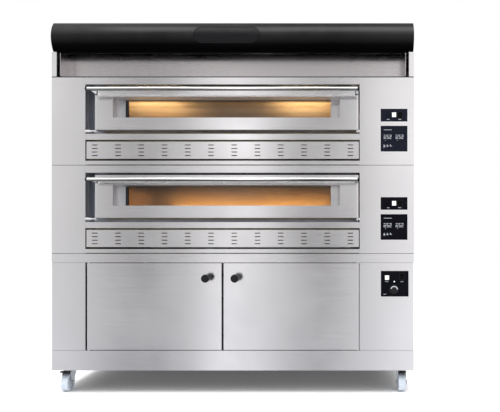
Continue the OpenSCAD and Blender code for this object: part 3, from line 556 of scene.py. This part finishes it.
def make_control_marks(deck):
    """Generic idle marks of the display and of the switch plate above it."""
    low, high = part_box(deck + "_control_plates")
    face = high.y - 2 * MM
    display_top = high.z - 77 * MM
    bm = bmesh.new()
    # heading bar
    mark(bm, low.x + 14 * MM, display_top - 19 * MM, 36 * MM, 1.6 * MM, face)
    # two readings of idle segments side by side, each with a bar under it
    for start in (14, 68):
        for i in range(3):
            x = low.x + (start + 13 * i) * MM
            for k in range(3):
                mark(bm, x, display_top - (43 + 8 * k) * MM, 8 * MM, 1.8 * MM, face)
            mark(bm, x, display_top - (59 - 8 * (i % 2)) * MM, 1.8 * MM, 8 * MM, face)
            mark(bm, x + 6.5 * MM, display_top - (59 - 8 * (i // 2)) * MM, 1.8 * MM, 8 * MM, face)
        mark(bm, low.x + (start + 6) * MM, display_top - 67 * MM, 4 * MM, 1.6 * MM, face)
    # three key signs, each shorter than the last
    for i in range(3):
        x = low.x + (14 + 14 * i) * MM
        mark(bm, x, display_top - (99 - 3 * i) * MM, 2.4 * MM, (14 - 3 * i) * MM, face)
        mark(bm, x + 3 * MM, display_top - 93 * MM, 5 * MM, 2 * MM, face)
    # bars under the fuse cap and the rocker
    switch_low = high.z - 57 * MM
    for offset in (28 * MM, 80 * MM):
        mark(bm, low.x + offset, switch_low + 8 * MM, 12 * MM, 1.8 * MM, face)
    finish_piece(deck + "_display_marks", mesh_from(bm, "display_marks"), "oven", "print")


def make_module_shadow_strips():
    """Black strips where one module stands on the next, on all four sides: painted shadow for the
    gaps between the modules.
    """
    vent_low, vent_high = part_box("lower_vent_panel")
    bm = bmesh.new()
    for node in ("lower_casing", "upper_casing", "hood_housing"):
        low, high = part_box(node)
        z = low.z
        # painted shadow: recessed strip over the whole front
        add_box(bm, (BODY_LO.x + 1 * MM, FRONT_Y + 0.4 * MM, z - 0.9 * MM),
                (BODY_HI.x - 1 * MM, FRONT_Y + 2.2 * MM, z + 0.9 * MM))
        # bolder painted shadow strip: the whole front under the hood, between the columns elsewhere
        if node == "hood_housing":
            ends = (BODY_LO.x + 1 * MM, BODY_HI.x - 1 * MM)
            sink = 2.6 * MM
        else:
            ends = (vent_low.x, vent_high.x)
            sink = 1.4 * MM
        add_box(bm, (ends[0], FRONT_Y - 0.5 * MM, z - sink),
                (ends[1], FRONT_Y + 1 * MM, z - sink + 4.2 * MM))
        # painted shadow along the sides and back
        for x in (low.x, high.x):
            add_box(bm, (x - 0.5 * MM, low.y + 6 * MM, z - 1.6 * MM),
                    (x + 0.5 * MM, high.y - 1 * MM, z + 1.6 * MM))
        add_box(bm, (low.x + 1 * MM, high.y - 0.5 * MM, z - 1.6 * MM),
                (high.x - 1 * MM, high.y + 0.5 * MM, z + 1.6 * MM))
    finish_piece("module_painted_shadow", mesh_from(bm, "module_painted_shadow"), "oven", "rubber")


def add_frame(bm, centre, size, width, depth):
    """A raised rectangular bezel facing -Y, its back at centre.y."""
    cx, cy, cz = centre
    hx, hz = size[0] / 2, size[1] / 2
    for x0, x1, z0, z1 in ((-hx - width, -hx, -hz - width, hz + width),
                           (hx, hx + width, -hz - width, hz + width),
                           (-hx, hx, hz, hz + width), (-hx, hx, -hz - width, -hz)):
        add_box(bm, (cx + x0, cy - depth, cz + z0), (cx + x1, cy, cz + z1))


def make_switch_bezels():
    """Black frames round every button and rocker."""
    bm = bmesh.new()
    for node in ("lower_light_button", "upper_light_button", "prover_light_switch",
                 "lower_power_rocker", "upper_power_rocker", "prover_power_switch"):
        low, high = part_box(node)
        centre = (low + high) / 2
        play = (1.4 if "light" in node else 3.4) * MM
        size = (high.x - low.x + 0.8 * MM, high.z - low.z + play)
        add_frame(bm, (centre.x, FRONT_Y - 2 * MM, centre.z), size, 1.8 * MM, 1.2 * MM)
    finish_piece("switch_bezels", mesh_from(bm, "switch_bezels"), "oven", "black",
                 bevel=0.4 * MM)


def make_rocker_dots():
    """A white dot on each rocker's upper half."""
    tilt = math.radians(8)
    normal = Vector((0, -math.cos(tilt), -math.sin(tilt)))
    for body, node in (("lower_power", "lower_power_rocker"), ("upper_power", "upper_power_rocker"),
                       ("prover_power", "prover_power_switch")):
        low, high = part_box(node)
        centre = (low + high) / 2
        bm = bmesh.new()
        add_lathe(bm, (centre.x, FRONT_Y - 2.6 * MM, centre.z + 5.5 * MM), normal,
                  [(0, -0.5 * MM), (2.4 * MM, -0.5 * MM), (2.4 * MM, 0.7 * MM), (0, 0.7 * MM)], 20)
        finish_piece(body + "_dot", mesh_from(bm, "rocker_dot"), body, "white")


def make_prover_marks():
    """Printed bars under the prover's switches and beside its knob."""
    low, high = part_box("prover_control_plate")
    bm = bmesh.new()
    for x, z in ((low.x + 20 * MM, high.z - 49 * MM), (low.x + 88 * MM, high.z - 49 * MM),
                 (low.x + 10 * MM, low.z + 10 * MM)):
        mark(bm, x, z, 14 * MM, 1.4 * MM, FRONT_Y - 2 * MM)
    finish_piece("prover_marks", mesh_from(bm, "prover_marks"), "oven", "print")


def add_arc(bm, centre, radii, angles, steps, thickness):
    """A flat arc facing -Y in closed steps, between two radii and two angles in degrees."""
    first, last = angles
    pitch = (last - first) / (steps - 1)
    for i in range(steps):
        ends = (math.radians(first + pitch * i), math.radians(first + pitch * (i + 1)))
        rim = [(math.cos(angle) * radius, math.sin(angle) * radius) for angle, radius in (
            (ends[0], radii[0]), (ends[1], radii[0]), (ends[1], radii[1]), (ends[0], radii[1]))]
        front = [bm.verts.new(centre + Vector((x, 0, z))) for x, z in rim]
        back = [bm.verts.new(centre + Vector((x, thickness, z))) for x, z in rim]
        bm.faces.new(front)
        bm.faces.new(back[::-1])
        for k in range(4):
            bm.faces.new([front[k], front[(k + 1) % 4], back[(k + 1) % 4], back[k]])


def make_dial_details():
    """The white arc on the thermostat knob's face and the ribs of its grip."""
    low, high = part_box("prover_thermostat_knob")
    centre = (low + high) / 2
    bm = bmesh.new()
    add_arc(bm, Vector((centre.x, low.y - 0.3 * MM, centre.z)), (12.5 * MM, 16 * MM), (165, 15), 12,
            0.7 * MM)
    finish_piece("prover_dial_arc", mesh_from(bm, "dial_arc"), "prover_dial", "print")
    ribs = 24
    reach = (high.x - low.x) / 2 - 5 * MM
    bm = bmesh.new()
    for i in range(ribs):
        angle = 2 * math.pi * i / ribs
        x, z = centre.x + reach * math.cos(angle), centre.z + reach * math.sin(angle)
        add_tube(bm, [(x, FRONT_Y - 22 * MM, z), (x, FRONT_Y - 8.5 * MM, z)], 1.1 * MM, 8)
    finish_piece("prover_dial_grip", mesh_from(bm, "dial_grip"), "prover_dial", "black",
                 smooth=True)


def make_pilot_lens():
    """The lens between the prover's switches."""
    low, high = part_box("prover_control_plate")
    bm = bmesh.new()
    add_lathe(bm, (low.x + 60 * MM, FRONT_Y - 4.8 * MM, high.z - 48 * MM), (0, -1, 0), [
        (0, 0), (3 * MM, 0), (2.4 * MM, 1.6 * MM), (0, 2.4 * MM)], 20)
    finish_piece("prover_pilot_lens", mesh_from(bm, "pilot_lens"), "oven", "pilot",
                 smooth=True)


# ---------------------------------------------------------------- hood details

def make_badge_rim():
    """A black bead along the outline of the blank badge."""
    low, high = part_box("hood_badge")
    canopy_low, canopy_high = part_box("hood_canopy")
    centre = (low + high) / 2
    half_h = (high.z - low.z) / 2
    half_w = (high.x - low.x) / 2 - half_h
    bulge = 28 * MM
    chord = canopy_high.z - canopy_low.z
    radius = (chord * chord / 4 + bulge * bulge) / (2 * bulge)
    axis_y = canopy_low.y + radius
    axis_z = (canopy_low.z + canopy_high.z) / 2
    reach = radius + 2.4 * MM
    outline = []
    for side in (1, -1):
        for i in range(17):
            angle = -math.pi / 2 + math.pi * i / 16
            x = centre.x + side * (half_w + (half_h - 1.5 * MM) * math.cos(angle))
            z = centre.z + side * (half_h - 1.5 * MM) * math.sin(angle)
            outline.append((x, axis_y - math.sqrt(reach ** 2 - (z - axis_z) ** 2), z))
    bm = bmesh.new()
    add_tube(bm, outline, 1.4 * MM, 8, closed=True)
    finish_piece("hood_badge_rim", mesh_from(bm, "badge_rim"), "oven", "badge",
                 smooth=True)


def make_spigot_beads():
    """Rolled beads that stiffen the flue spigot, and the screws of its flange."""
    low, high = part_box("hood_flue_spigot")
    centre = (low + high) / 2
    flange = 18 * MM
    radius = (high.x - low.x) / 2 - flange
    bm = bmesh.new()
    for z in (low.z + 18 * MM, low.z + 36 * MM):
        ring = [(centre.x + radius * math.cos(2 * math.pi * i / 64),
                 centre.y + radius * math.sin(2 * math.pi * i / 64), z) for i in range(64)]
        add_tube(bm, ring, 1.2 * MM, 8, closed=True)
    for i in range(6):
        angle = 2 * math.pi * (i + 0.5) / 6
        add_screw(bm, (centre.x + (radius + 10 * MM) * math.cos(angle),
                       centre.y + (radius + 10 * MM) * math.sin(angle), low.z + 3 * MM), (0, 0, 1))
    finish_piece("flue_beads", mesh_from(bm, "flue_beads"), "oven", "zinc",
                 smooth=True)


# ---------------------------------------------------------------- shell details

def make_panel_screws():
    """Screws along the edges of the side and back panels."""
    bm = bmesh.new()
    for node in CASINGS + ("hood_housing",):
        low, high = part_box(node)
        for z in (low.z + 25 * MM, high.z - 25 * MM):
            for i in range(6):
                y = low.y + 60 * MM + (high.y - low.y - 120 * MM) * i / 5
                add_screw(bm, (low.x, y, z), (-1, 0, 0))
                add_screw(bm, (high.x, y, z), (1, 0, 0))
            for i in range(7):
                x = low.x + 60 * MM + (high.x - low.x - 120 * MM) * i / 6
                add_screw(bm, (x, high.y, z), (0, 1, 0))
    finish_piece("panel_screws", mesh_from(bm, "panel_screws"), "oven", "polished",
                 smooth=True)


def add_louvre(bm, start, end, out, drop, lift):
    """A pressed louvre between two points, bulging along out."""
    stations = []
    down = Vector((0, 0, -1))
    for s in range(13):
        t = -1 + s / 6
        swell = math.sqrt(max(0.0, 1 - t ** 4))
        base = Vector(start).lerp(Vector(end), s / 12)
        section = [bm.verts.new(base + Vector(out) * (lift * swell * math.sin(math.pi / 2 * a / 4))
                                + down * (drop * a / 4)) for a in range(5)]
        section.append(bm.verts.new(base + down * drop - Vector(out) * 0.2 * MM))
        section.append(bm.verts.new(base - Vector(out) * 0.2 * MM))
        stations.append(section)
    for a, b in zip(stations, stations[1:]):
        for j in range(len(a)):
            bm.faces.new([a[j], a[(j + 1) % len(a)], b[(j + 1) % len(a)], b[j]])
    bm.faces.new(stations[0])
    bm.faces.new(stations[-1])


def make_cooling_louvres():
    """Louvres beside and behind the control column of each electric module."""
    length, drop = 110 * MM, 8 * MM
    bm = bmesh.new()
    for node in CASINGS:
        low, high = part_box(node)
        mid = (low.z + high.z) / 2
        for k in range(6):
            z = mid + (k - 2.5) * 22 * MM
            for y in (low.y + 160 * MM, low.y + 330 * MM):
                add_louvre(bm, (high.x, y, z), (high.x, y + length, z), (1, 0, 0), drop, 1.8 * MM)
            x = high.x - 250 * MM
            add_louvre(bm, (x, high.y, z), (x + length, high.y, z), (0, 1, 0), drop, 5 * MM)
    bmesh.ops.remove_doubles(bm, verts=bm.verts, dist=0.01 * MM)
    finish_piece("cooling_louvres", mesh_from(bm, "cooling_louvres"), "oven", "stainless",
                 smooth=True)


def make_service_covers():
    """Screwed covers on the back of each deck and of the prover."""
    margin, thickness = 60 * MM, 1.5 * MM
    bm = bmesh.new()
    screws = bmesh.new()
    for node in CASINGS:
        low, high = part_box(node)
        spans = ((low.x + 90 * MM, low.x + 690 * MM), (low.x + 730 * MM, high.x - 400 * MM))
        for x0, x1 in spans:
            corners = (Vector((x0, high.y, low.z + margin)), Vector((x1, high.y, high.z - margin)))
            add_box(bm, corners[0] - Vector((0, 0.3 * MM, 0)),
                    corners[1] + Vector((0, thickness, 0)))
            for i in range(5):
                x = x0 + 15 * MM + (x1 - x0 - 30 * MM) * i / 4
                for z in (corners[0].z + 15 * MM, corners[1].z - 15 * MM):
                    add_screw(screws, (x, high.y + thickness, z), (0, 1, 0))
    finish_piece("service_covers", mesh_from(bm, "service_covers"), "oven", "zinc",
                 bevel=0.8 * MM)
    finish_piece("cover_screws", mesh_from(screws, "cover_screws"), "oven", "polished",
                 smooth=True)


def make_knob_details():
    """A screw cover on each pull knob."""
    for side in ("left", "right"):
        low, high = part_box("prover_knob_" + side)
        centre = (low + high) / 2
        bm = bmesh.new()
        add_lathe(bm, (centre.x, low.y, centre.z), (0, -1, 0), [
            (0, -0.5 * MM), (7 * MM, -0.5 * MM), (7 * MM, 0.3 * MM), (5.5 * MM, 0.9 * MM),
            (0, 1.2 * MM)], 32)
        finish_piece("knob_cover_" + side, mesh_from(bm, "knob_cover"), "prover_leaf_" + side,
                     "black", smooth=True)


def make_pedal_ribs():
    """Grip ribs across the brake pedals."""
    for side in ("left", "right"):
        low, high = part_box("brake_pedal_" + side)
        centre_x = (low.x + high.x) / 2
        bm = bmesh.new()
        for i in range(4):
            y = low.y + (2 + 3 * i) * MM
            add_tube(bm, [(centre_x - 13 * MM, y, high.z), (centre_x + 13 * MM, y, high.z)],
                     0.9 * MM, 8)
        finish_piece("pedal_ribs_" + side, mesh_from(bm, "pedal_ribs"), "brake_" + side, "rubber",
                     smooth=True)


def make_door_seal(deck):
    """A round seal along the edge of the door's inner face."""
    low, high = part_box(deck + "_door_liner")
    inset = 9 * MM
    y = high.y + 1.5 * MM
    corners = [(low.x + inset, low.z + inset), (high.x - inset, low.z + inset),
               (high.x - inset, high.z - inset), (low.x + inset, high.z - inset)]
    path = []
    for (x0, z0), (x1, z1) in zip(corners, corners[1:] + corners[:1]):
        for t in (0.02, 0.98):
            path.append((x0 + (x1 - x0) * t, y, z0 + (z1 - z0) * t))
    bm = bmesh.new()
    add_tube(bm, path, 3 * MM, 10, closed=True)
    finish_piece(deck + "_door_seal", mesh_from(bm, "door_seal"), deck + "_door", "rubber",
                 smooth=True)


# ---------------------------------------------------------------- stage, light, camera

def make_floor():
    """A pale paper floor; its light comes from a lamp of its own."""
    reach = 12
    bm = bmesh.new()
    add_box(bm, (-reach, -reach, -0.02), (reach, reach, -0.0002))
    obj = bpy.data.objects.new("floor", mesh_from(bm, "floor"))
    bpy.context.scene.collection.objects.link(obj)
    material, tree, surface = blank_material("floor_paper")
    cloud = object_noise(tree, 1.0, 3.0)
    color = mix_colors(tree, cloud, rgb(0.93, 0.93, 0.93), rgb(0.96, 0.96, 0.96))
    tree.links.new(color, surface.inputs["Base Color"])
    surface.inputs["Roughness"].default_value = 0.85
    obj.data.materials.append(material)
    obj.visible_glossy = False


# The studio as the reflections see it: (azimuth from straight in front
# towards +X, radiance) and (elevation, factor, warmth), angles in degrees.
STUDIO_BAYS = ((-180, 0.5), (-100, 0.7), (-50, 0.82), (-27, 1.0), (-18, 0.20), (-13, 0.60),
               (-8.8, 1.95), (-5.5, 0.74), (-1.5, 0.02), (1.5, 0.30), (5, 1.04), (14, 1.3),
               (50, 0.6), (100, 0.7), (180, 0.5))
STUDIO_HEIGHTS = ((-90, 0.02, 0), (-60, 0.05, 0), (-44, 0.22, 0), (-30, 0.60, -1), (-20, 0.95, -2),
                  (-12, 1.03, -2), (0, 0.95, 0), (11, 1.02, 0), (15.5, 1.10, 0), (20, 0.80, 0),
                  (25, 0.70, 0), (34, 1.6, 0), (52, 1.9, 0), (70, 1.25, 0), (90, 0.30, 0))
TINT_STEP = 0.012


def ramp_over(tree, angle, stops):
    """A smooth ramp over an angle given in radians; a stop may carry a warm or cold tint."""
    first, last = stops[0][0], stops[-1][0]
    position = remap(tree, angle, 0.0, 1.0, (math.radians(first), math.radians(last)))
    ramp = add_node(tree, "ShaderNodeValToRGB", Fac=position)
    ramp.color_ramp.interpolation = "EASE"
    elements = ramp.color_ramp.elements
    for stop in stops[1:-1]:
        elements.new((stop[0] - first) / (last - first))
    ordered = sorted(elements, key=lambda element: element.position)
    for element, (_, level, *warmth) in zip(ordered, stops):
        shift = TINT_STEP * warmth[0] if warmth else 0
        element.color = rgb(level * (1 + shift), level * (1 - abs(shift) / 2), level * (1 - shift))
    return ramp.outputs["Color"]


def make_world():
    """White to the eye; the reflections see a studio with soft bright bays."""
    world = bpy.data.worlds.new("studio")
    bpy.context.scene.world = world
    world.use_nodes = True
    tree = world.node_tree
    tree.nodes.clear()
    output = tree.nodes.new("ShaderNodeOutputWorld")
    coords = tree.nodes.new("ShaderNodeTexCoord")
    axes = add_node(tree, "ShaderNodeSeparateXYZ", Vector=coords.outputs["Generated"])
    azimuth = math_node(tree, "ARCTAN2", axes.outputs["X"],
                        math_node(tree, "MULTIPLY", axes.outputs["Y"], -1.0))
    elevation = math_node(tree, "ARCSINE", axes.outputs["Z"])
    level = mix_colors(tree, 1.0, ramp_over(tree, azimuth, STUDIO_BAYS),
                       ramp_over(tree, elevation, STUDIO_HEIGHTS), "MULTIPLY")
    seen = add_node(tree, "ShaderNodeBackground", Color=rgb(1, 1, 1), Strength=1.0)
    studio = add_node(tree, "ShaderNodeBackground", Color=level, Strength=1.0)
    path = tree.nodes.new("ShaderNodeLightPath")
    choice = tree.nodes.new("ShaderNodeMixShader")
    tree.links.new(path.outputs["Is Camera Ray"], choice.inputs[0])
    tree.links.new(studio.outputs[0], choice.inputs[1])
    tree.links.new(seen.outputs[0], choice.inputs[2])
    tree.links.new(choice.outputs[0], output.inputs[0])


def add_softbox(name, location, target, size, power, color=(1, 1, 1)):
    """A rectangular light aimed at a target and hidden from the camera."""
    light = bpy.data.lights.new(name, "AREA")
    light.shape = "RECTANGLE"
    light.size, light.size_y = size
    light.energy = power
    light.color = color
    obj = bpy.data.objects.new(name, light)
    obj.location = location
    obj.rotation_mode = "QUATERNION"
    obj.rotation_quaternion = (Vector(target) - Vector(location)).to_track_quat("-Z", "Y")
    bpy.context.scene.collection.objects.link(obj)
    obj.visible_camera = False
    return obj


def make_floor_light():
    """A wide sun that lights only the floor, so that it reads as white paper."""
    light = bpy.data.lights.new("floor_light", "SUN")
    light.energy = 3.6
    light.angle = math.radians(50)
    sun = bpy.data.objects.new("floor_light", light)
    bpy.context.scene.collection.objects.link(sun)
    lit = bpy.data.collections.new("floor_only")
    lit.objects.link(bpy.data.objects["floor"])
    sun.light_linking.receiver_collection = lit


def add_glow(deck, x, depth, lean, size, power, color):
    """The warm light in a chamber, over its floor; the panel itself isn't seen."""
    floor_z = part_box(deck + "_chamber")[0].z
    at = Vector((x, FRONT_Y + depth, floor_z + 0.055))
    glow = add_softbox(f"{deck}_glow_{x:+.1f}", at, at + Vector(lean), size, power, color)
    glow.visible_transmission = False


def make_lights():
    add_softbox("top_light", (0.0, -2.2, 4.4), (0, -0.5, 1.0), (3.5, 1.6), 50)
    make_floor_light()
    low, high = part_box("upper_chamber")
    for x in (low.x + 0.20, high.x - 0.27):
        add_glow("upper", x, 0.36, (0, 0, 0.1), (0.26, 0.30), 2.2, (1.0, 0.80, 0.50))
    low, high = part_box("lower_chamber")
    add_glow("lower", (low.x + high.x) / 2, 0.90, (0, 0.25, 0.12), (1.0, 0.10), 2.3,
             (1.0, 0.55, 0.18))


def make_camera():
    """Square to the front, a little right of the middle and low, as a shifted studio view."""
    distance = 2.5
    seen_width = 2.265
    aim_x, aim_z = 0.078, 0.850
    stand_x, stand_z = 0.418, 0.714
    data = bpy.data.cameras.new("camera")
    data.sensor_width = 36.0
    data.lens = 36.0 * distance / seen_width
    data.shift_x = (aim_x - stand_x) / seen_width
    data.shift_y = (aim_z - stand_z) / seen_width
    data.clip_end = 60
    camera = bpy.data.objects.new("camera", data)
    camera.location = (stand_x, FRONT_Y - distance, stand_z)
    camera.rotation_euler = (math.radians(90), 0, 0)
    bpy.context.scene.collection.objects.link(camera)
    bpy.context.scene.camera = camera


bpy.context.scene.view_settings.view_transform = "Standard"
dress_cad_nodes()
for deck_name in DECKS:
    make_window_trim(deck_name)
    make_handle_caps(deck_name)
    make_control_marks(deck_name)
    make_door_seal(deck_name)
make_module_shadow_strips()
make_switch_bezels()
make_rocker_dots()
make_prover_marks()
make_dial_details()
make_pilot_lens()
make_badge_rim()
make_spigot_beads()
make_panel_screws()
make_cooling_louvres()
make_service_covers()
make_knob_details()
make_pedal_ribs()
make_floor()
make_world()
make_lights()
make_camera()
